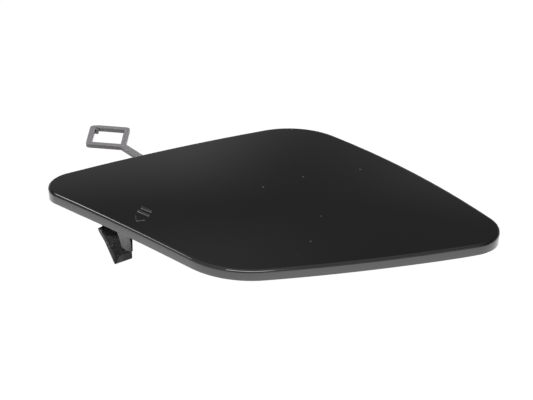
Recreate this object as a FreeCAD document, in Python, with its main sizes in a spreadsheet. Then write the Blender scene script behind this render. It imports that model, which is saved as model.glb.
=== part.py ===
import FreeCAD
import Part
import math
import os
import Sketcher

# One black moulding: a crowned cover plate with a shallow rim, a hooked latch at the
# front left edge, two snap clips at the back right edge and a tether with a square eye.
# X runs along the long diagonal, Z out of the show face; the clip tips stand on z = 0.

document = FreeCAD.newDocument("tow_cover")

# two places nearer than this, in millimetres, count as one
same_place = 0.03

sizes = {
    # plate outline: centres and radii of the four rounded corners
    "left_x": -47.0,
    "right_x": 45.4,
    "ends_y": -4.4,
    "back_x": -0.6,
    "back_y": 19.4,
    "front_x": -1.6,
    "front_y": -14.0,
    "left_radius": 6.5,
    "right_radius": 8.1,
    "back_radius": 15.5,
    "front_radius": 20.9,
    # bow of the two right-hand sides
    "back_side_radius": 290.0,
    "front_side_radius": 204.0,
    # crown and wall
    "top_height": 13.6,
    "crown_long": 800.0,
    "crown_across": 500.0,
    "crown_margin": 8.5,
    "crown_sweep": 14.0,
    "axis_half": 10.0,
    "skin": 2.0,
    "rim_drop": 2.75,
    "rim_wall": 1.8,
    "blank_under": 7.6,
    "blank_over": 2.0,
    "clear_over": 6.4,
    "clear_low": -4.0,
    "edge_round": 0.7,
    "rim_foot_bevel": 0.2,
    # latch tab, all but flush with the rim face; its top is buried in the skin
    "tab_out": -0.12,
    "tab_wall": 0.9,
    "tab_left_top": 20.17,
    "tab_left": 22.14,
    "tab_right": 24.77,
    "tab_sink": 2.4,
    "tab_drop": 7.22,
    # latch blade: leans along the edge and carries the barb on its outer side
    "blade_sink": 2.2,
    "blade_top_u": 14.88,
    "blade_knee_u": 18.8,
    "blade_foot_u": 18.6,
    "blade_tip_u": 18.36,
    "blade_wall": 1.2,
    "blade_out": -1.0,
    "blade_depth": 4.5,
    "barb_out": 0.41,
    "barb_depth": 1.6,
    "shoulder_drop": 4.85,
    "shoulder_u": 15.97,
    "land_drop": 5.96,
    "taper_one": -0.17,
    "taper_one_drop": 8.0,
    "taper_two": -0.93,
    "taper_two_z": 0.9,
    "tip_out": -1.15,
    "clear_out": 2.0,
    "clear_foot": -1.0,
    "taper_side": -10.0,
    "taper_long": 12.5,
    "bead_front": 1.35,
    "bead_back": 5.7,
    "bead_tall": 1.85,
    "bead_root": 0.4,
    "bead_proud": 0.7,
    # brace behind the blade
    "brace_out": -5.5,
    "brace_wall": 1.3,
    "brace_left": 14.3,
    "brace_left_low": 16.7,
    "brace_drop": 8.0,
    "brace_mid": 17.9,
    "brace_right": 25.0,
    "brace_right_drop": 4.4,
    # two snap clips at the back right edge, each placed by its outward direction
    "clip_one_angle": 58.3,
    "clip_two_angle": 51.6,
    "clip_width": 7.0,
    "clip_leg_out": -1.2,
    "clip_leg_in": -2.9,
    "clip_barb": 0.3,
    "clip_shoulder_drop": 4.7,
    "clip_land_drop": 5.8,
    "clip_tip_out": -1.7,
    "clip_sink": 2.4,
    "clip_rib_root": -2.6,
    "clip_rib_in": -6.4,
    "clip_rib_low": 3.6,
    "clip_rib_wall": 1.2,
    # tether: a plane that starts on the back left rim face and rises a little outward,
    # with the strap along it and the square eye on the strap's line, corner first
    "tether_along": 21.27,
    "tether_angle": 145.5,
    "tether_tilt": 3.94,
    "strap_sink": 3.5,
    "strap_depth": 0.95,
    "strap_half": 0.84,
    "strap_in": 7.2,
    "strap_stop": 5.5,
    "eye_out": 15.81,
    "eye_angle": 43.3,
    "eye_half_long": 4.9,
    "eye_half_wide": 4.75,
    "eye_bar": 1.35,
    "eye_round": 0.95,
    "gate_radius": 0.55,
    "gate_in_u": 0.32,
    "gate_in_v": 0.3,
    "gate_drop": 0.35,
    "gate_low": 0.1,
    "root_near": 1.0,
    "root_half": 2.0,
    "root_deep": 1.4,
    "root_sink": 2.1,
    # push mark on the show face, in the latch frame: along the edge and inward
    "mark_relief": 0.25,
    "mark_under": 1.7,
    "mark_over": 1.4,
    "mark_lean": 0.65,
    "mark_rise": 0.15,
    "bar_depth": 0.85,
    "bar_low": 6.0,
    "bar_low_near": 21.3,
    "bar_low_far": 25.15,
    "bar_high": 7.53,
    "bar_high_near": 20.98,
    "bar_high_far": 24.36,
    "arrow_base": 4.64,
    "arrow_tip": 2.85,
    "arrow_near": 22.01,
    "arrow_far": 25.53,
    "arrow_mid": 24.22,
}

# what follows from the sizes: where the front left edge leaves its corner and which way
# it faces, where the tether leaves the back left edge, and the centre of the bow that
# the two clips stand along
followed = {
    "latch_run": "=sqrt((left_x - front_x)^2 + (ends_y - front_y)^2)",
    "latch_slope": "=atan2(ends_y - front_y; left_x - front_x) / 1deg",
    "latch_facing": "=latch_slope + 90 - asin((front_radius - left_radius) / latch_run) / 1deg",
    "latch_angle": "=latch_facing - 270",
    "latch_side_angle": "=latch_facing - 360",
    "latch_x": "=left_x + left_radius * cos(latch_facing)",
    "latch_y": "=ends_y + left_radius * sin(latch_facing)",
    "edge_run": "=sqrt((back_x - left_x)^2 + (back_y - ends_y)^2)",
    "edge_slope": "=atan2(back_y - ends_y; back_x - left_x) / 1deg",
    "edge_facing": "=edge_slope + 90 + asin((back_radius - left_radius) / edge_run) / 1deg",
    "tether_x": "=left_x + left_radius * cos(edge_facing) + tether_along * sin(edge_facing)",
    "tether_y": "=ends_y + left_radius * sin(edge_facing) - tether_along * cos(edge_facing)",
    "bow_run": "=sqrt((right_x - back_x)^2 + (ends_y - back_y)^2)",
    "bow_slope": "=atan2(ends_y - back_y; right_x - back_x) / 1deg",
    "bow_near": "=back_side_radius - back_radius",
    "bow_far": "=back_side_radius - right_radius",
    "bow_along": "=(bow_near^2 - bow_far^2 + bow_run^2) / (2 * bow_run)",
    "bow_deep": "=sqrt(bow_near^2 - bow_along^2)",
    "bow_x": "=back_x + bow_along * cos(bow_slope) + bow_deep * sin(bow_slope)",
    "bow_y": "=back_y + bow_along * sin(bow_slope) - bow_deep * cos(bow_slope)",
    "clip_one_x": "=bow_x + back_side_radius * cos(clip_one_angle)",
    "clip_one_y": "=bow_y + back_side_radius * sin(clip_one_angle)",
    "clip_two_x": "=bow_x + back_side_radius * cos(clip_two_angle)",
    "clip_two_y": "=bow_y + back_side_radius * sin(clip_two_angle)",
}

sheet = document.addObject("Spreadsheet::Sheet", "sizes")
cells = [(name, str(value)) for name, value in sizes.items()] + list(followed.items())
for row, (name, text) in enumerate(cells, start=1):
    sheet.set("A%d" % row, name)
    sheet.set("B%d" % row, text)
    sheet.setAlias("B%d" % row, name)
document.recompute()
for name in followed:
    sizes[name] = float(sheet.get(name))


def total(names):
    """Sum of named sizes; a leading minus subtracts."""
    amount = 0.0
    for name in names.split():
        if name.startswith("-"):
            amount -= sizes[name[1:]]
        else:
            amount += sizes[name]
    return amount


def formula(names):
    """The same sum as a spreadsheet expression."""
    text = ""
    for name in names.split():
        if name.startswith("-"):
            text += " - sizes." + name[1:]
        else:
            text += " + sizes." + name
    return "0" + text


def vec(x, y):
    return FreeCAD.Vector(x, y, 0)


def plane_of(body, role):
    for feature in body.Origin.OriginFeatures:
        if feature.Role == role:
            return feature
    raise ValueError("no plane " + role)


def attach(item, support, base, turn=None, axis=(0, 0, 1), out=""):
    """Put a sketch or plane on a flat support, moved by three sums of sizes and turned."""
    item.AttachmentSupport = [(support, "")]
    item.MapMode = "FlatFace"
    angle = total(turn) if turn else 0.0
    place = FreeCAD.Vector(total(base[0]), total(base[1]), total(base[2]))
    texts = [formula(names) for names in base]
    if out:
        slant = math.radians(angle)
        place += FreeCAD.Vector(math.sin(slant), 0, math.cos(slant)) * total(out)
        texts[0] += " + (%s) * sin(%s)" % (formula(out), formula(turn))
        texts[2] += " + (%s) * cos(%s)" % (formula(out), formula(turn))
    turned = FreeCAD.Rotation(FreeCAD.Vector(*axis), angle)
    item.AttachmentOffset = FreeCAD.Placement(place, turned)
    for part, text in zip(("x", "y", "z"), texts):
        item.setExpression("AttachmentOffset.Base." + part, text)
    if turn:
        item.setExpression("AttachmentOffset.Rotation.Angle", formula(turn))


def new_sketch(body, name, role, base, turn=None, out=""):
    """A sketch on an origin plane, moved by three sums of sizes, turned, then moved out."""
    sketch = body.newObject("Sketcher::SketchObject", name)
    axis = (0, 1, 0) if role == "XZ_Plane" else (0, 0, 1)
    attach(sketch, plane_of(body, role), base, turn, axis, out)
    return sketch


def bind(sketch, kind, places, names):
    number = sketch.addConstraint(Sketcher.Constraint(kind, *places, total(names)))
    sketch.setExpression("Constraints[%d]" % number, formula(names))


def polygon(sketch, corners):
    """Closed outline of straight lines; every corner is bound in both directions."""
    first = sketch.GeometryCount
    points = [vec(total(x), total(y)) for x, y in corners]
    count = len(points)
    for number in range(count):
        sketch.addGeometry(Part.LineSegment(points[number], points[(number + 1) % count]))
    for number in range(count):
        following = first + (number + 1) % count
        sketch.addConstraint(Sketcher.Constraint("Coincident", first + number, 2, following, 1))
    for number, (x, y) in enumerate(corners):
        bind(sketch, "DistanceX", (-1, 1, first + number, 1), x)
        bind(sketch, "DistanceY", (-1, 1, first + number, 1), y)


def finish(feature):
    document.recompute()
    if "Invalid" in feature.State or "Error" in feature.State:
        raise RuntimeError(feature.Name + " failed")
    if feature.Shape.isNull() or not feature.Shape.isValid():
        raise RuntimeError(feature.Name + " has no valid shape")
    return feature


def pad(body, name, sketch, length, reverse=False, middle=False):
    feature = body.newObject("PartDesign::Pad", name)
    feature.Profile = sketch
    feature.Length = total(length)
    feature.setExpression("Length", formula(length))
    feature.Reversed = reverse
    feature.Midplane = middle
    return finish(feature)


def pocket(body, name, sketch, length, reverse=False, middle=False):
    before = body.Shape.Volume
    feature = body.newObject("PartDesign::Pocket", name)
    feature.Profile = sketch
    feature.Length = total(length)
    feature.setExpression("Length", formula(length))
    feature.Reversed = reverse
    feature.Midplane = middle
    finish(feature)
    if feature.Shape.Volume >= before:
        raise RuntimeError(name + " removed nothing")
    return feature


# outline of the plate: four corner arcs joined by two straight and two bowed sides


def outline(sketch, inset):
    """Draw the plate outline, moved inward by the named inset."""
    gap = total(inset)
    less = " -" + inset if inset else ""
    corners = [
        ("left_x", "ends_y", "left_radius"),
        ("back_x", "back_y", "back_radius"),
        ("right_x", "ends_y", "right_radius"),
        ("front_x", "front_y", "front_radius"),
    ]
    bows = [None, "back_side_radius", "front_side_radius", None]
    starts = []
    ends = []
    hubs = []
    for number, bow in enumerate(bows):
        x, y, radius = corners[number]
        far_x, far_y, far_radius = corners[(number + 1) % 4]
        one = vec(sizes[x], sizes[y])
        two = vec(sizes[far_x], sizes[far_y])
        r_one = sizes[radius] - gap
        r_two = sizes[far_radius] - gap
        along = two - one
        span = along.Length
        along.normalize()
        outward = vec(-along.y, along.x)
        if bow is None:
            lean = (r_one - r_two) / span
            normal = outward * math.sqrt(1 - lean * lean) + along * lean
            starts.append(one + normal * r_one)
            ends.append(two + normal * r_two)
            hubs.append(None)
        else:
            big = sizes[bow] - gap
            reach_one = big - r_one
            reach_two = big - r_two
            run = (reach_one ** 2 - reach_two ** 2 + span ** 2) / (2 * span)
            drop = math.sqrt(reach_one ** 2 - run ** 2)
            hub = one + along * run - outward * drop
            starts.append(hub + (one - hub) * (big / reach_one))
            ends.append(hub + (two - hub) * (big / reach_two))
            hubs.append(hub)
    pieces = []
    for number, (x, y, radius) in enumerate(corners):
        centre = vec(sizes[x], sizes[y])
        enter = ends[number - 1] - centre
        leave = starts[number] - centre
        circle = Part.Circle(centre, FreeCAD.Vector(0, 0, 1), sizes[radius] - gap)
        low = math.atan2(leave.y, leave.x)
        high = math.atan2(enter.y, enter.x)
        if high < low:
            high += 2 * math.pi
        arc = sketch.addGeometry(Part.ArcOfCircle(circle, low, high))
        bind(sketch, "DistanceX", (-1, 1, arc, 3), x)
        bind(sketch, "DistanceY", (-1, 1, arc, 3), y)
        bind(sketch, "Radius", (arc,), radius + less)
        # an arc runs anticlockwise, so it leaves the corner at its start
        pieces.append((arc, 2, 1))
        if hubs[number] is None:
            side = sketch.addGeometry(Part.LineSegment(starts[number], ends[number]))
            pieces.append((side, 1, 2))
        else:
            hub = hubs[number]
            big = Part.Circle(hub, FreeCAD.Vector(0, 0, 1), sizes[bows[number]] - gap)
            head = starts[number] - hub
            tail = ends[number] - hub
            low = math.atan2(tail.y, tail.x)
            high = math.atan2(head.y, head.x)
            side = sketch.addGeometry(Part.ArcOfCircle(big, low, high))
            bind(sketch, "Radius", (side,), bows[number] + less)
            pieces.append((side, 2, 1))
    for number, piece in enumerate(pieces):
        following = pieces[(number + 1) % len(pieces)]
        joint = Sketcher.Constraint("Tangent", piece[0], piece[2], following[0], following[1])
        sketch.addConstraint(joint)


def crown_groove(body, name, offset, far):
    """Cut away all between a surface parallel to the crown and a level beyond it."""
    sketch = new_sketch(body, name + "_profile", "XZ_Plane", ("", "", ""))
    radius = total("crown_long " + offset)
    near = total("left_x -left_radius -crown_margin")
    far_end = total("right_x right_radius crown_margin")
    middle = total("top_height -crown_long")
    level = total(far)
    near_edge = middle + math.sqrt(radius ** 2 - near ** 2)
    far_edge = middle + math.sqrt(radius ** 2 - far_end ** 2)
    circle = Part.Circle(vec(0, middle), FreeCAD.Vector(0, 0, 1), radius)
    low_angle = math.acos(far_end / radius)
    high_angle = math.acos(near / radius)
    arc = sketch.addGeometry(Part.ArcOfCircle(circle, low_angle, high_angle))
    left = sketch.addGeometry(Part.LineSegment(vec(near, near_edge), vec(near, level)))
    flat = sketch.addGeometry(Part.LineSegment(vec(near, level), vec(far_end, level)))
    right = sketch.addGeometry(Part.LineSegment(vec(far_end, level), vec(far_end, far_edge)))
    sketch.addConstraint(Sketcher.Constraint("Coincident", arc, 2, left, 1))
    sketch.addConstraint(Sketcher.Constraint("Coincident", left, 2, flat, 1))
    sketch.addConstraint(Sketcher.Constraint("Coincident", flat, 2, right, 1))
    sketch.addConstraint(Sketcher.Constraint("Coincident", right, 2, arc, 1))
    sketch.addConstraint(Sketcher.Constraint("Vertical", left))
    sketch.addConstraint(Sketcher.Constraint("Horizontal", flat))
    sketch.addConstraint(Sketcher.Constraint("Vertical", right))
    sketch.addConstraint(Sketcher.Constraint("PointOnObject", arc, 3, -2))
    bind(sketch, "DistanceY", (-1, 1, arc, 3), "top_height -crown_long")
    bind(sketch, "Radius", (arc,), "crown_long " + offset)
    bind(sketch, "DistanceX", (-1, 1, right, 2), "right_x right_radius crown_margin")
    bind(sketch, "DistanceX", (-1, 1, left, 1), "left_x -left_radius -crown_margin")
    bind(sketch, "DistanceY", (-1, 1, flat, 1), far)
    low = total("top_height -crown_across")
    reach = sizes["axis_half"]
    axis = sketch.addGeometry(Part.LineSegment(vec(-reach, low), vec(reach, low)), True)
    sketch.addConstraint(Sketcher.Constraint("Horizontal", axis))
    bind(sketch, "DistanceX", (-1, 1, axis, 1), "-axis_half")
    bind(sketch, "DistanceX", (-1, 1, axis, 2), "axis_half")
    bind(sketch, "DistanceY", (-1, 1, axis, 1), "top_height -crown_across")
    document.recompute()
    before = body.Shape.Volume
    feature = body.newObject("PartDesign::Groove", name)
    feature.Profile = sketch
    feature.ReferenceAxis = (sketch, ["Axis0"])
    feature.Angle = sizes["crown_sweep"]
    feature.setExpression("Angle", formula("crown_sweep"))
    feature.Midplane = True
    finish(feature)
    if feature.Shape.Volume >= before:
        raise RuntimeError(name + " removed nothing")
    return feature


# hollow: the space under the skin inside the rim

hollow = document.addObject("PartDesign::Body", "hollow")
space_plan = new_sketch(hollow, "space_plan", "XY_Plane", ("", "", "clear_low"))
outline(space_plan, "rim_wall")
document.recompute()
pad(hollow, "space_block", space_plan, "top_height blank_over -clear_low")
crown_groove(hollow, "space_crown", "-skin", "top_height clear_over")

# cover: crowned slab with the hollow taken out of it

cover = document.addObject("PartDesign::Body", "cover")
cover.Label = "tow_hook_cover"
plate_plan = new_sketch(cover, "plate_plan", "XY_Plane", ("", "", "top_height -blank_under"))
outline(plate_plan, "")
document.recompute()
pad(cover, "plate_block", plate_plan, "blank_over blank_under")
crown_groove(cover, "show_face", "", "top_height clear_over")
crown_groove(cover, "rim_foot", "-rim_drop", "clear_low")
shell = cover.newObject("PartDesign::Boolean", "shell")
shell.Type = "Cut"
shell.setObjects([hollow])
finish(shell)

# edges of the plate: rounded at the show face, bevelled at the outer foot of the rim


def crown_level(x, y, offset):
    """Height of the crown, or of a surface parallel to it, above the clip tips."""
    across = sizes["crown_across"] - sizes["crown_long"]
    reach = math.sqrt((sizes["crown_long"] + offset) ** 2 - x ** 2) + across
    return sizes["top_height"] - sizes["crown_across"] + math.sqrt(reach ** 2 - y ** 2)


def middle_of(edge):
    low, high = edge.ParameterRange
    return edge.valueAt((low + high) / 2)


def work_edges(kind, setting, name, wanted, names):
    """Round or bevel the wanted edges by a sum of sizes."""
    document.recompute()
    found = []
    for number, edge in enumerate(cover.Shape.Edges, start=1):
        if wanted(edge):
            found.append("Edge%d" % number)
    last = cover.Tip
    feature = cover.newObject("PartDesign::" + kind, name)
    feature.Base = (last, found)
    setattr(feature, setting, total(names))
    feature.setExpression(setting, formula(names))
    return finish(feature)


def on_top_rim(edge):
    spot = middle_of(edge)
    return abs(spot.z - crown_level(spot.x, spot.y, 0.0)) < same_place


def on_rim_foot(edge):
    """Outer lower edge of the rim: on the foot surface and clear of the hollow."""
    spot = middle_of(edge)
    if abs(spot.z - crown_level(spot.x, spot.y, -sizes["rim_drop"])) > same_place:
        return False
    return not any(
        math.hypot(vertex.X - other.X, vertex.Y - other.Y) < same_place
        for vertex in edge.Vertexes
        for other in hollow.Shape.Vertexes
    )


work_edges("Fillet", "Radius", "top_round", on_top_rim, "edge_round")
work_edges("Chamfer", "Size", "foot_bevel", on_rim_foot, "rim_foot_bevel")

# latch: tab below the rim, leaning blade with barb and foot bead, brace behind; its
# frame starts where the front left edge leaves its corner

edge_frame = ("latch_x", "", "-latch_y")

tab_face = new_sketch(cover, "tab_face", "XZ_Plane", edge_frame, "latch_angle", "tab_out")
polygon(tab_face, [
    ("tab_left_top", "top_height -tab_sink"),
    ("tab_left", "top_height -tab_drop"),
    ("tab_right", "top_height -tab_drop"),
    ("tab_right", "top_height -tab_sink"),
])
pad(cover, "tab", tab_face, "tab_wall", reverse=True)

blade_face = new_sketch(cover, "blade_face", "XZ_Plane", edge_frame, "latch_angle", "blade_out")
polygon(blade_face, [
    ("blade_top_u -blade_wall", "top_height -blade_sink"),
    ("blade_tip_u", ""),
    ("blade_foot_u", ""),
    ("blade_knee_u", "bead_tall"),
    ("blade_top_u", "top_height -blade_sink"),
])
pad(cover, "blade", blade_face, "blade_depth", reverse=True)

barb_face = new_sketch(cover, "barb_face", "XZ_Plane", edge_frame, "latch_angle", "barb_out")
polygon(barb_face, [
    ("shoulder_u -blade_wall", "top_height -shoulder_drop"),
    ("blade_tip_u", ""),
    ("blade_foot_u", ""),
    ("blade_knee_u", "bead_tall"),
    ("shoulder_u", "top_height -shoulder_drop"),
])
pad(cover, "barb", barb_face, "barb_depth", reverse=True)

taper_side = new_sketch(
    cover, "taper_side", "XZ_Plane", edge_frame, "latch_side_angle", "taper_side"
)
polygon(taper_side, [
    ("barb_out", "top_height -land_drop"),
    ("taper_one", "top_height -taper_one_drop"),
    ("taper_two", "taper_two_z"),
    ("tip_out", ""),
    ("tip_out", "clear_foot"),
    ("clear_out", "clear_foot"),
    ("clear_out", "top_height -land_drop"),
])
pocket(cover, "barb_taper", taper_side, "taper_long")

bead_plan = new_sketch(cover, "bead_plan", "XY_Plane", ("latch_x", "latch_y", ""), "latch_angle")
polygon(bead_plan, [
    ("blade_foot_u -bead_root", "bead_front"),
    ("blade_foot_u", "bead_front"),
    ("blade_knee_u bead_proud", "bead_back"),
    ("blade_foot_u -bead_root", "bead_back"),
])
pad(cover, "foot_bead", bead_plan, "bead_tall")

brace_face = new_sketch(cover, "brace_face", "XZ_Plane", edge_frame, "latch_angle", "brace_out")
polygon(brace_face, [
    ("brace_left", "top_height -blade_sink"),
    ("brace_left_low", "top_height -brace_drop"),
    ("brace_mid", "top_height -brace_drop"),
    ("brace_right", "top_height -brace_right_drop"),
    ("brace_right", "top_height -blade_sink"),
])
pad(cover, "latch_brace", brace_face, "brace_wall")

# snap clips: barbed tongue across the edge direction with one gusset behind each

for clip in ("clip_one", "clip_two"):
    clip_frame = (clip + "_x", "", "-" + clip + "_y")
    tongue = new_sketch(cover, clip + "_side", "XZ_Plane", clip_frame, clip + "_angle")
    polygon(tongue, [
        ("clip_leg_out", "top_height -clip_sink"),
        ("clip_leg_out", "top_height -clip_shoulder_drop"),
        ("clip_barb", "top_height -clip_shoulder_drop"),
        ("clip_barb", "top_height -clip_land_drop"),
        ("clip_tip_out", ""),
        ("clip_leg_in", ""),
        ("clip_leg_in", "top_height -clip_sink"),
    ])
    pad(cover, clip + "_tongue", tongue, "clip_width", middle=True)
    gusset = new_sketch(cover, clip + "_gusset_side", "XZ_Plane", clip_frame, clip + "_angle")
    polygon(gusset, [
        ("clip_rib_root", "top_height -clip_sink"),
        ("clip_rib_root", "clip_rib_low"),
        ("clip_leg_in", "clip_rib_low"),
        ("clip_rib_in", "top_height -clip_sink"),
    ])
    pad(cover, clip + "_gusset", gusset, "clip_rib_wall", middle=True)

# tether: square eye, strap from its corner to under the rim, root block under the skin


def rounded_box(sketch, half_long, half_wide, radius):
    """Rectangle about the middle of the sketch with four rounded corners."""
    round_by = total(radius)
    reach = total(half_long) - round_by
    side = total(half_wide) - round_by
    places = [
        (reach, side, half_long + " -" + radius, half_wide + " -" + radius),
        (-reach, side, "-" + half_long + " " + radius, half_wide + " -" + radius),
        (-reach, -side, "-" + half_long + " " + radius, "-" + half_wide + " " + radius),
        (reach, -side, half_long + " -" + radius, "-" + half_wide + " " + radius),
    ]
    arcs = []
    for number, (x, y, x_names, y_names) in enumerate(places):
        circle = Part.Circle(vec(x, y), FreeCAD.Vector(0, 0, 1), round_by)
        low = number * math.pi / 2
        arc = sketch.addGeometry(Part.ArcOfCircle(circle, low, low + math.pi / 2))
        bind(sketch, "DistanceX", (-1, 1, arc, 3), x_names)
        bind(sketch, "DistanceY", (-1, 1, arc, 3), y_names)
        bind(sketch, "Radius", (arc,), radius)
        arcs.append(arc)
    for number, arc in enumerate(arcs):
        following = arcs[(number + 1) % len(arcs)]
        begin = sketch.Geometry[arc].EndPoint
        end = sketch.Geometry[following].StartPoint
        side_line = sketch.addGeometry(Part.LineSegment(begin, end))
        sketch.addConstraint(Sketcher.Constraint("Tangent", arc, 2, side_line, 1))
        sketch.addConstraint(Sketcher.Constraint("Tangent", side_line, 2, following, 1))


tether_level = cover.newObject("PartDesign::Plane", "tether_level")
tether_base = ("tether_x", "tether_y", "top_height -strap_sink")
attach(tether_level, plane_of(cover, "XY_Plane"), tether_base, "tether_angle")
tether_rise = cover.newObject("PartDesign::Plane", "tether_rise")
attach(tether_rise, tether_level, ("", "", ""), "-tether_tilt", (0, 1, 0))

eye_plan = cover.newObject("Sketcher::SketchObject", "eye_plan")
attach(eye_plan, tether_rise, ("eye_out", "", ""), "eye_angle")
rounded_box(eye_plan, "eye_half_long", "eye_half_wide", "eye_round")
polygon(eye_plan, [
    ("-eye_half_long eye_bar", "-eye_half_wide eye_bar"),
    ("eye_half_long -eye_bar", "-eye_half_wide eye_bar"),
    ("eye_half_long -eye_bar", "eye_half_wide -eye_bar"),
    ("-eye_half_long eye_bar", "eye_half_wide -eye_bar"),
])
pad(cover, "eye", eye_plan, "strap_depth", reverse=True)

strap_plan = cover.newObject("Sketcher::SketchObject", "strap_plan")
attach(strap_plan, tether_rise, ("", "", ""))
polygon(strap_plan, [
    ("-strap_in", "-strap_half"),
    ("eye_out -strap_stop", "-strap_half"),
    ("eye_out -strap_stop", "strap_half"),
    ("-strap_in", "strap_half"),
])
pad(cover, "strap", strap_plan, "strap_depth", reverse=True)

root_plan = cover.newObject("Sketcher::SketchObject", "root_plan")
attach(root_plan, tether_level, ("", "", "-root_deep"))
polygon(root_plan, [
    ("-strap_in", "-root_half"),
    ("-root_near", "-root_half"),
    ("-root_near", "root_half"),
    ("-strap_in", "root_half"),
])
pad(cover, "strap_root", root_plan, "root_deep strap_sink -root_sink")

gate_plan = cover.newObject("Sketcher::SketchObject", "gate_plan")
attach(gate_plan, tether_rise, ("eye_out", "", "-strap_depth -gate_drop"), "eye_angle")
gate_u = "eye_half_long -eye_bar -gate_in_u"
gate_v = "-eye_half_wide eye_bar gate_in_v"
gate_centre = vec(total(gate_u), total(gate_v))
gate_plan.addGeometry(Part.Circle(gate_centre, FreeCAD.Vector(0, 0, 1), sizes["gate_radius"]))
bind(gate_plan, "DistanceX", (-1, 1, 0, 3), gate_u)
bind(gate_plan, "DistanceY", (-1, 1, 0, 3), gate_v)
bind(gate_plan, "Radius", (0,), "gate_radius")
pad(cover, "gate_stub", gate_plan, "gate_drop strap_depth -gate_low")

# push mark: two bars and an arrow head, raised a little above the crown

mark_base = ("latch_x", "latch_y", "top_height -mark_under")
mark_plan = new_sketch(cover, "mark_plan", "XY_Plane", mark_base, "latch_angle")
for bar in ("bar_low", "bar_high"):
    polygon(mark_plan, [
        (bar + "_near", bar),
        (bar + "_far", bar + " mark_rise"),
        (bar + "_far -mark_lean", bar + " mark_rise bar_depth"),
        (bar + "_near -mark_lean", bar + " bar_depth"),
    ])
polygon(mark_plan, [
    ("arrow_near", "arrow_base"),
    ("arrow_mid", "arrow_tip"),
    ("arrow_far", "arrow_base"),
])
pad(cover, "mark_blocks", mark_plan, "mark_over mark_under")
crown_groove(cover, "mark_faces", "mark_relief", "top_height clear_over")

document.recompute()
for item in document.Objects:
    if "Invalid" in item.State or "Error" in item.State:
        raise RuntimeError(item.Name + " has a fault")
if len(cover.Shape.Solids) != 1:
    raise RuntimeError("the cover is not one solid")
os.makedirs("parts", exist_ok=True)
cover.Shape.exportStep("parts/tow_hook_cover.step")
print("volume", round(cover.Shape.Volume, 1), "faces", len(cover.Shape.Faces))
print(cover.Shape.BoundBox)
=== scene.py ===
import math

import bmesh
import bpy
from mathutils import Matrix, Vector


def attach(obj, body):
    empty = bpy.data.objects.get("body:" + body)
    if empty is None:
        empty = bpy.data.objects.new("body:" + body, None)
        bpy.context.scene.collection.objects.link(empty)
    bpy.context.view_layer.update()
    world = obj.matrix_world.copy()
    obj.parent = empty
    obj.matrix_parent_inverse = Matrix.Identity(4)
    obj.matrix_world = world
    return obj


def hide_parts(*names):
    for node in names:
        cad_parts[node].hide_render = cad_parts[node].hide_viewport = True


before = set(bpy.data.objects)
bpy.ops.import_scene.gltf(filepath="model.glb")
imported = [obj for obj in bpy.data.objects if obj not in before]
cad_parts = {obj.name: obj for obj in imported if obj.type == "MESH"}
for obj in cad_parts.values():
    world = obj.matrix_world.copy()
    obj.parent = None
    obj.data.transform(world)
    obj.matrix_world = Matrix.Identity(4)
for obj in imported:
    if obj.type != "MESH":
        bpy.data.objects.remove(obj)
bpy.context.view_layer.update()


# Cover moulding: one injection-moulded piece of black plastic, with its plate, latch, clips
# and tether. The show face, the rim and the latch are sprayed gloss black, and the tether,
# the clips and the underside are left as they come from the tool.

SAME_POINT = 0.000002
FLAT_ENOUGH = math.radians(0.05)

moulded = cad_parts["tow_hook_cover"]
shell = bmesh.new()
shell.from_mesh(moulded.data)
bmesh.ops.remove_doubles(shell, verts=shell.verts, dist=SAME_POINT)
bmesh.ops.dissolve_limit(
    shell, angle_limit=FLAT_ENOUGH, verts=shell.verts, edges=shell.edges
)

# the show face: crowned along the plate's long diagonal, and more across it
CROWN_TOP = 0.0136
CROWN_LONG_RADIUS = 0.8
CROWN_ACROSS_RADIUS = 0.5


def below_crown(point):
    """How far a point lies below the crowned show face."""
    fall_long = CROWN_LONG_RADIUS - math.sqrt(CROWN_LONG_RADIUS ** 2 - point.x ** 2)
    fall_across = CROWN_ACROSS_RADIUS - math.sqrt(CROWN_ACROSS_RADIUS ** 2 - point.y ** 2)
    return CROWN_TOP - fall_long - fall_across - point.z


def within(value, span):
    """True for a value between the two ends of a span."""
    low, high = span
    return low < value < high


# the push mark: two bars and an arrow head, raised above the show face
MARK_LONG = (-0.0385, -0.0215)
MARK_ACROSS = (-0.0275, -0.0135)
MARK_STANDS = 0.0001


def on_mark(point):
    """True for a point of the raised push mark."""
    over_mark = within(point.x, MARK_LONG) and within(point.y, MARK_ACROSS)
    return over_mark and below_crown(point) < -MARK_STANDS


# the latch: a blade that leans along the plate's front left edge, beside an upright tab
LATCH_START = Vector((-0.05025, -0.01003, 0))
LATCH_ALONG = Vector((0.866, -0.5, 0))
LATCH_OUTWARD = Vector((-0.5, -0.866, 0))
BLADE_SPAN = (0.014, 0.0189)
BLADE_FRONT = -0.00096
BLADE_HEIGHT = (0.0008, 0.0086)
TAB_END_SPAN = (0.0246, 0.0255)
TAB_BACK = -0.0012
TAB_FRONT = -0.00015
TAB_END_HEIGHT = (0.0063, 0.0104)
TAB_FOOT_HEIGHT = 0.0065
TAB_EDGE_SPAN = (0.024, 0.0244)
TAB_EDGE_FRONT = -0.0002
TAB_EDGE_HEIGHT = (0.0057, 0.0108)


def on_latch(point):
    """Where a point lies on the latch: along it, outward of it and above the feet."""
    from_start = point - LATCH_START
    return from_start.dot(LATCH_ALONG), from_start.dot(LATCH_OUTWARD), point.z


def on_blade_front(point):
    """True for a point on the front of the latch's leaning blade."""
    along, outward, height = on_latch(point)
    in_front = outward > BLADE_FRONT
    return within(along, BLADE_SPAN) and in_front and within(height, BLADE_HEIGHT)


def on_tab_end(point):
    """True for a point at the right-hand end of the latch's tab."""
    along, outward, height = on_latch(point)
    in_tab = outward > TAB_BACK
    return within(along, TAB_END_SPAN) and in_tab and within(height, TAB_END_HEIGHT)


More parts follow.
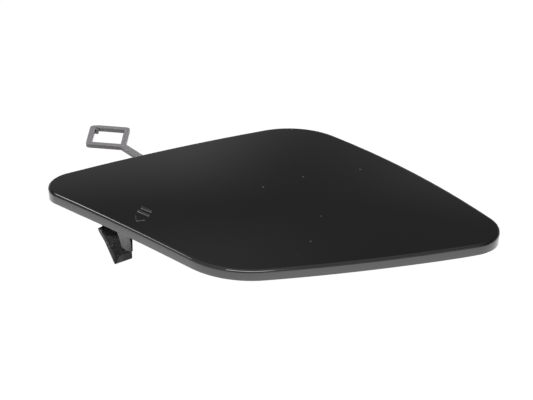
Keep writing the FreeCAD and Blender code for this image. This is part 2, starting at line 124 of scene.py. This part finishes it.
def on_tab_edge(point):
    """True for a point on the upright front edge at that end of the tab."""
    along, outward, height = on_latch(point)
    in_front = outward > TAB_EDGE_FRONT
    return within(along, TAB_EDGE_SPAN) and in_front and within(height, TAB_EDGE_HEIGHT)


# that end of the tab slants back to its rear corner and reaches a little lower there
TAB_END_SLANT = 0.0006
TAB_END_DROP = 0.00035

for corner in shell.verts:
    if on_tab_end(corner.co):
        along, outward, height = on_latch(corner.co)
        if outward > TAB_FRONT:
            corner.co -= LATCH_ALONG * TAB_END_SLANT
        if height < TAB_FOOT_HEIGHT:
            corner.co.z -= TAB_END_DROP

# the moulding's edges are a little rounded, more so on the mark, the blade and the tab, and
# edges that this leaves with no length are dissolved
TAB_EDGE_ROUND = 0.0009
BLADE_EDGE_ROUND = 0.0003
MARK_EDGE_ROUND = 0.00021
EDGE_ROUND = 0.00009
EDGE_ANGLE = math.radians(32)
NO_LENGTH = 0.0000005


def round_edges(wanted, width, segments, clamp):
    """Round the sharp edges that have both ends where wanted() says."""
    sharp_edges = []
    for edge in shell.edges:
        if len(edge.link_faces) != 2 or edge.calc_face_angle() < EDGE_ANGLE:
            continue
        if wanted(edge.verts[0].co) and wanted(edge.verts[1].co):
            sharp_edges.append(edge)
    bmesh.ops.bevel(
        shell,
        geom=sharp_edges,
        offset=width,
        offset_type="OFFSET",
        affect="EDGES",
        segments=segments,
        profile=0.5,
        material=-1,
        clamp_overlap=clamp,
    )


round_edges(on_tab_edge, TAB_EDGE_ROUND, segments=4, clamp=False)
round_edges(on_blade_front, BLADE_EDGE_ROUND, segments=4, clamp=False)
round_edges(on_mark, MARK_EDGE_ROUND, segments=3, clamp=True)
round_edges(lambda point: not on_mark(point), EDGE_ROUND, segments=2, clamp=True)
bmesh.ops.dissolve_degenerate(shell, dist=NO_LENGTH, edges=shell.edges)

# the tether leaves the rim at the back left edge, and its eye still has the torn stub of the
# moulding gate, coloured a little darker and shinier than the rest of it
TETHER_START = Vector((-0.03395, 0.0136, 0))
TETHER_ALONG = Vector((-0.824, 0.566, 0))
TETHER_OUTWARD = Vector((-0.585, 0.811, 0))
TETHER_PAST_START = 0.0004
TETHER_PAST_RIM = 0.0001
GATE_STUB = Vector((-0.0506, 0.0251, 0))
GATE_STUB_RADIUS = 0.0006


def on_tether(point):
    """True for a point of the tether, outside the rim."""
    from_start = point - TETHER_START
    past_start = from_start.dot(TETHER_ALONG) > TETHER_PAST_START
    past_rim = from_start.dot(TETHER_OUTWARD) > TETHER_PAST_RIM
    return past_start and past_rim


# the spray covers the show face, the rim and the latch, but not the tether; it is thin on
# the blade, which is set back from the tab, and the mark's two bars are a little duller
RIM_DEPTH = 0.0029
LATCH_SPAN = (0.013, 0.0275)
LATCH_BACK = -0.003
THIN_SPRAY_END = 0.0195
THIN_SPRAY_TOP = 0.0098
BARS_START = -0.0049
SPRAY_ON_BARS = 0.86
DARKER_GLOSS_OF_GATE_STUB = 0.25

sprayed = shell.faces.layers.float.new("sprayed")
thin = shell.faces.layers.float.new("thin_spray")
for face in shell.faces:
    middle = face.calc_center_median()
    on_plate = below_crown(middle) < RIM_DEPTH
    along, outward, height = on_latch(middle)
    at_latch = within(along, LATCH_SPAN) and outward > LATCH_BACK
    at_blade = at_latch and along < THIN_SPRAY_END and height < THIN_SPRAY_TOP
    face[sprayed] = float((on_plate or at_latch) and not on_tether(middle))
    face[thin] = float(at_blade)
    if on_mark(middle) and outward < BARS_START:
        face[sprayed] = SPRAY_ON_BARS
    if (middle.xy - GATE_STUB.xy).length < GATE_STUB_RADIUS:
        face[sprayed] = DARKER_GLOSS_OF_GATE_STUB

cover_mesh = bpy.data.meshes.new("tow_cover_moulding")
shell.to_mesh(cover_mesh)
shell.free()

# the plate shades with its true crown, rounded edge and slightly barrelled rim wall, and
# the rest with the average of the faces that meet smoothly
TOP_ROUND = 0.0007
WALL_BARREL = 0.12
ON_CROWN = 0.0000015
SMOOTH_ANGLE = math.radians(38)


def plate_normal(point, wall):
    """The true direction of the plate's surface, where wall is the rim's own direction."""
    up = Vector((point.x / CROWN_LONG_RADIUS, point.y / CROWN_ACROSS_RADIUS, 1)).normalized()
    out = Vector((wall.x, wall.y, 0)).normalized()
    deep = max(0.0, below_crown(point) - ON_CROWN)
    if deep < TOP_ROUND:
        rise = 1 - deep / TOP_ROUND * (1 - WALL_BARREL)
    else:
        rise = WALL_BARREL * max(0.0, RIM_DEPTH - deep) / (RIM_DEPTH - TOP_ROUND)
    return (up * rise + out * math.sqrt(1 - rise * rise)).normalized()


around = [[] for _ in cover_mesh.vertices]
for face in cover_mesh.polygons:
    face.use_smooth = True
    for corner in face.vertices:
        around[corner].append(face)
shading = []
for face in cover_mesh.polygons:
    for corner in face.vertices:
        point = cover_mesh.vertices[corner].co
        normal = Vector()
        for other in around[corner]:
            if other.normal.dot(face.normal) > math.cos(SMOOTH_ANGLE):
                normal += other.normal * other.area
        normal.normalize()
        if -ON_CROWN < below_crown(point) < RIM_DEPTH and not on_tether(point):
            true_normal = plate_normal(point, normal)
            if true_normal.dot(face.normal) > math.cos(SMOOTH_ANGLE):
                normal = true_normal
        shading.append(normal)
cover_mesh.normals_split_custom_set(shading)
cover = bpy.data.objects.new("tow_cover_moulding", cover_mesh)
bpy.context.scene.collection.objects.link(cover)

black = bpy.data.materials.new("black_moulding")
black.use_nodes = True
nodes = black.node_tree.nodes
links = black.node_tree.links
plastic = nodes["Principled BSDF"]
place = nodes.new("ShaderNodeTexCoord")


def plug(value, socket):
    """Set a socket to a number or a colour, or link another node's output to it."""
    if isinstance(value, (int, float, tuple)):
        socket.default_value = value
    else:
        links.new(value, socket)


def reckon(kind, one, two):
    """One step of arithmetic between two values."""
    step = nodes.new("ShaderNodeMath")
    step.operation = kind
    plug(one, step.inputs[0])
    plug(two, step.inputs[1])
    return step.outputs[0]


def fade(value, low, high, at_low=0.0, at_high=1.0):
    """A smooth change from one level to another, as a value goes from low to high."""
    step = nodes.new("ShaderNodeMapRange")
    step.interpolation_type = "SMOOTHSTEP"
    step.inputs["From Min"].default_value = low
    step.inputs["From Max"].default_value = high
    step.inputs["To Min"].default_value = at_low
    step.inputs["To Max"].default_value = at_high
    links.new(value, step.inputs["Value"])
    return step.outputs["Result"]


def between(amount, plain, other, kind="FLOAT"):
    """Blend two values, or two colours, by an amount from 0 to 1."""
    step = nodes.new("ShaderNodeMix")
    step.data_type = kind
    plug(amount, step.inputs["Factor"])
    plug(plain, step.inputs["A"])
    plug(other, step.inputs["B"])
    return step.outputs["Result"]


def mottle(patches, detail):
    """Soft random variation, with so many patches to the metre."""
    step = nodes.new("ShaderNodeTexNoise")
    step.inputs["Scale"].default_value = patches
    step.inputs["Detail"].default_value = detail
    links.new(place.outputs["Object"], step.inputs["Vector"])
    return step.outputs["Fac"]


def painted(layer):
    """How strongly a face layer of the mesh marks a place, from 0 to 1."""
    step = nodes.new("ShaderNodeAttribute")
    step.attribute_name = layer
    return step.outputs["Fac"]


gloss = painted("sprayed")
bare = reckon("SUBTRACT", 1.0, gloss)
grain = mottle(patches=2600, detail=3)
haze = mottle(patches=38, detail=4)
peel = mottle(patches=420, detail=2)

# settled dust: a speck of about half a millimetre in the middle of a patch
DUST_PATCHES = 165
SPECK_EDGE = 0.055
SPECK_FULL = 0.03
DUST_ROUGHNESS = 0.35
DUST_COLOUR = (0.016, 0.016, 0.0165, 1)
specks = nodes.new("ShaderNodeTexVoronoi")
specks.inputs["Scale"].default_value = DUST_PATCHES
links.new(place.outputs["Object"], specks.inputs["Vector"])
dust = fade(specks.outputs["Distance"], SPECK_EDGE, SPECK_FULL)

# roughness: satin where bare, near mirror-like where sprayed, duller where the spray is thin
THIN_SPRAY_ROUGHNESS = 0.36
rough_bare = fade(grain, 0.3, 0.7, at_low=0.46, at_high=0.55)
rough_gloss = fade(haze, 0.35, 0.7, at_low=0.055, at_high=0.11)
rough_dusty = between(dust, rough_gloss, DUST_ROUGHNESS)
rough_spray = between(painted("thin_spray"), rough_dusty, THIN_SPRAY_ROUGHNESS)
links.new(between(gloss, rough_bare, rough_spray), plastic.inputs["Roughness"])

# colour: the bare plastic is a dark grey beside the deep black of the spray
BARE_COLOUR = (0.043, 0.042, 0.0435, 1)
SPRAY_COLOUR = (0.0012, 0.0012, 0.0013, 1)
clean_colour = between(gloss, BARE_COLOUR, SPRAY_COLOUR, kind="RGBA")
dusty_colour = between(dust, clean_colour, DUST_COLOUR, kind="RGBA")
links.new(dusty_colour, plastic.inputs["Base Color"])

# relief: the tool's fine grain where bare, and a trace of orange peel in the spray
RELIEF_STRENGTH = 0.2
RELIEF_DEPTH = 0.00002
PEEL_SHARE = 0.06
relief = nodes.new("ShaderNodeBump")
relief.inputs["Strength"].default_value = RELIEF_STRENGTH
relief.inputs["Distance"].default_value = RELIEF_DEPTH
grain_height = reckon("MULTIPLY", grain, bare)
peel_height = reckon("MULTIPLY", reckon("MULTIPLY", peel, gloss), PEEL_SHARE)
links.new(reckon("ADD", grain_height, peel_height), relief.inputs["Height"])
links.new(relief.outputs["Normal"], plastic.inputs["Normal"])
plastic.inputs["IOR"].default_value = 1.5
cover_mesh.materials.append(black)
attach(cover, "root")
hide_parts("tow_hook_cover")


# Floor: a plain pale sweep that shows to the camera as an even white. What the gloss mirrors
# of it has a pool of light painted into its colour, bright in front of the object and
# dimming outwards.

FLOOR_HALF = 3.0
PAINTED_POOL_CENTRE = (0.02, -0.06, 0.0)
PAINTED_POOL_REACH = (-0.06, 0.26)
PAINTED_POOL_BRIGHTNESS = 0.78
FLOOR_BEYOND_PAINTED_POOL = 0.38
SHOWN_WHITE = 1.02

floor_shape = bmesh.new()
bmesh.ops.create_grid(floor_shape, x_segments=1, y_segments=1, size=FLOOR_HALF)
floor_mesh = bpy.data.meshes.new("floor")
floor_shape.to_mesh(floor_mesh)
floor_shape.free()
floor = bpy.data.objects.new("floor", floor_mesh)
bpy.context.scene.collection.objects.link(floor)
pale = bpy.data.materials.new("pale_floor")
pale.use_nodes = True
floor_nodes = pale.node_tree.nodes
floor_links = pale.node_tree.links
matt = floor_nodes["Principled BSDF"]
floor_place = floor_nodes.new("ShaderNodeTexCoord")
from_painted_pool = floor_nodes.new("ShaderNodeVectorMath")
from_painted_pool.operation = "DISTANCE"
floor_links.new(floor_place.outputs["Object"], from_painted_pool.inputs[0])
from_painted_pool.inputs[1].default_value = PAINTED_POOL_CENTRE
# painted light: the floor's colour is a painted pool, brightest at its centre and darker
# further out
painted_pool_fade = floor_nodes.new("ShaderNodeMapRange")
painted_pool_fade.interpolation_type = "SMOOTHERSTEP"
painted_pool_fade.inputs["From Min"].default_value = PAINTED_POOL_REACH[0]
painted_pool_fade.inputs["From Max"].default_value = PAINTED_POOL_REACH[1]
painted_pool_fade.inputs["To Min"].default_value = PAINTED_POOL_BRIGHTNESS
painted_pool_fade.inputs["To Max"].default_value = FLOOR_BEYOND_PAINTED_POOL
floor_links.new(from_painted_pool.outputs["Value"], painted_pool_fade.inputs["Value"])
floor_links.new(painted_pool_fade.outputs["Result"], matt.inputs["Base Color"])
matt.inputs["Roughness"].default_value = 0.9
matt.inputs["Specular IOR Level"].default_value = 0.0
white = floor_nodes.new("ShaderNodeEmission")
white.inputs["Strength"].default_value = SHOWN_WHITE
ray = floor_nodes.new("ShaderNodeLightPath")
over_lit = floor_nodes.new("ShaderNodeMixShader")
floor_links.new(ray.outputs["Is Camera Ray"], over_lit.inputs["Fac"])
floor_links.new(matt.outputs["BSDF"], over_lit.inputs[1])
floor_links.new(white.outputs["Emission"], over_lit.inputs[2])
floor_links.new(over_lit.outputs["Shader"], floor_nodes["Material Output"].inputs["Surface"])
floor_mesh.materials.append(pale)


# Studio: a dim soft room that is paler near the floor, overhead and on its front wall, with
# faint cards that the show face mirrors. A large softbox above and behind lights the bare
# plastic, and two narrow strips draw the highlights along the rounded edge.

ROOM_DIM = 0.148
STUDIO_TINT = (1, 0.982, 0.99)

room = bpy.data.worlds.new("soft_room")
bpy.context.scene.world = room
room.use_nodes = True

# from here the node helpers above build the room; how bright it is in a direction follows
# from how far that direction points sideways, backward and upward, each from -1 to 1
nodes = room.node_tree.nodes
links = room.node_tree.links
look = nodes.new("ShaderNodeTexCoord")
heading = nodes.new("ShaderNodeSeparateXYZ")
links.new(look.outputs["Generated"], heading.inputs[0])
sideways = heading.outputs["X"]
backward = heading.outputs["Y"]
upward = heading.outputs["Z"]

low_wall = fade(upward, 0.0, 0.42, at_low=0.34, at_high=0.0)

front_low = fade(upward, 0.18, 0.42, at_low=0.2, at_high=1.0)
front_band = reckon("MULTIPLY", front_low, fade(upward, 0.9, 0.5))
front_side = fade(backward, 0.0, -0.5, at_low=0.0, at_high=1.1)
front_wall = reckon("MULTIPLY", front_side, front_band)

left_side = fade(sideways, -0.18, -0.27, at_low=0.0, at_high=0.27)
left_card = reckon("MULTIPLY", left_side, fade(upward, 0.54, 0.38))

right_side = fade(sideways, -0.18, -0.06, at_low=0.0, at_high=0.165)
right_card = reckon("MULTIPLY", right_side, fade(upward, 0.52, 0.40))

glow_height = fade(upward, 0.5, 0.64, at_low=0.0, at_high=0.16)
glow_side = fade(sideways, -0.1, -0.24, at_low=0.15, at_high=1.0)
glow = reckon("MULTIPLY", glow_height, glow_side)

zenith = fade(upward, 0.68, 0.95, at_low=0.0, at_high=0.8)

room_light = ROOM_DIM
for part in (low_wall, front_wall, left_card, right_card, glow, zenith):
    room_light = reckon("ADD", part, room_light)
seen = nodes.new("ShaderNodeLightPath")
backdrop = nodes["Background"]
shown_light = between(seen.outputs["Is Camera Ray"], room_light, SHOWN_WHITE)
links.new(shown_light, backdrop.inputs["Strength"])
backdrop.inputs["Color"].default_value = (*STUDIO_TINT, 1)


def softbox(name, spot, wide, tall, watts):
    """A rectangular area light aimed at the object."""
    lamp = bpy.data.lights.new(name, "AREA")
    lamp.shape = "RECTANGLE"
    lamp.size = wide
    lamp.size_y = tall
    lamp.energy = watts
    lamp.color = STUDIO_TINT
    stand = bpy.data.objects.new(name, lamp)
    bpy.context.scene.collection.objects.link(stand)
    stand.location = spot
    stand.rotation_mode = "QUATERNION"
    stand.rotation_quaternion = (-Vector(spot)).to_track_quat("-Z", "Y")
    return stand


top = softbox("top_softbox", (0.1, 0.7, 0.95), wide=0.9, tall=0.6, watts=66)
top.visible_glossy = False
softbox("front_strip", (0.0, -0.8, 1.0), wide=0.8, tall=0.22, watts=10)
softbox("left_strip", (-0.84, 0.14, 0.78), wide=0.8, tall=0.16, watts=3.3)


# Camera: the photograph's view, from the front, a little to the right and 29 degrees up.

AZIMUTH = math.radians(12.902)
ELEVATION = math.radians(29.029)
DISTANCE = 0.56
AIM_POINT = Vector((0, 0, 0.012))
LENS = 162.45
SENSOR_WIDTH = 36
SHIFT_X = -0.01494
SHIFT_Y = -0.00525
NEAREST_SEEN = 0.01

back = Vector((
    math.sin(AZIMUTH) * math.cos(ELEVATION),
    -math.cos(AZIMUTH) * math.cos(ELEVATION),
    math.sin(ELEVATION),
))
camera_data = bpy.data.cameras.new("camera")
camera_data.lens = LENS
camera_data.sensor_width = SENSOR_WIDTH
camera_data.shift_x = SHIFT_X
camera_data.shift_y = SHIFT_Y
camera_data.clip_start = NEAREST_SEEN
camera = bpy.data.objects.new("camera", camera_data)
bpy.context.scene.collection.objects.link(camera)
camera.location = AIM_POINT + back * DISTANCE
camera.rotation_mode = "QUATERNION"
camera.rotation_quaternion = (-back).to_track_quat("-Z", "Y")
bpy.context.scene.camera = camera
bpy.context.scene.view_settings.view_transform = "Standard"
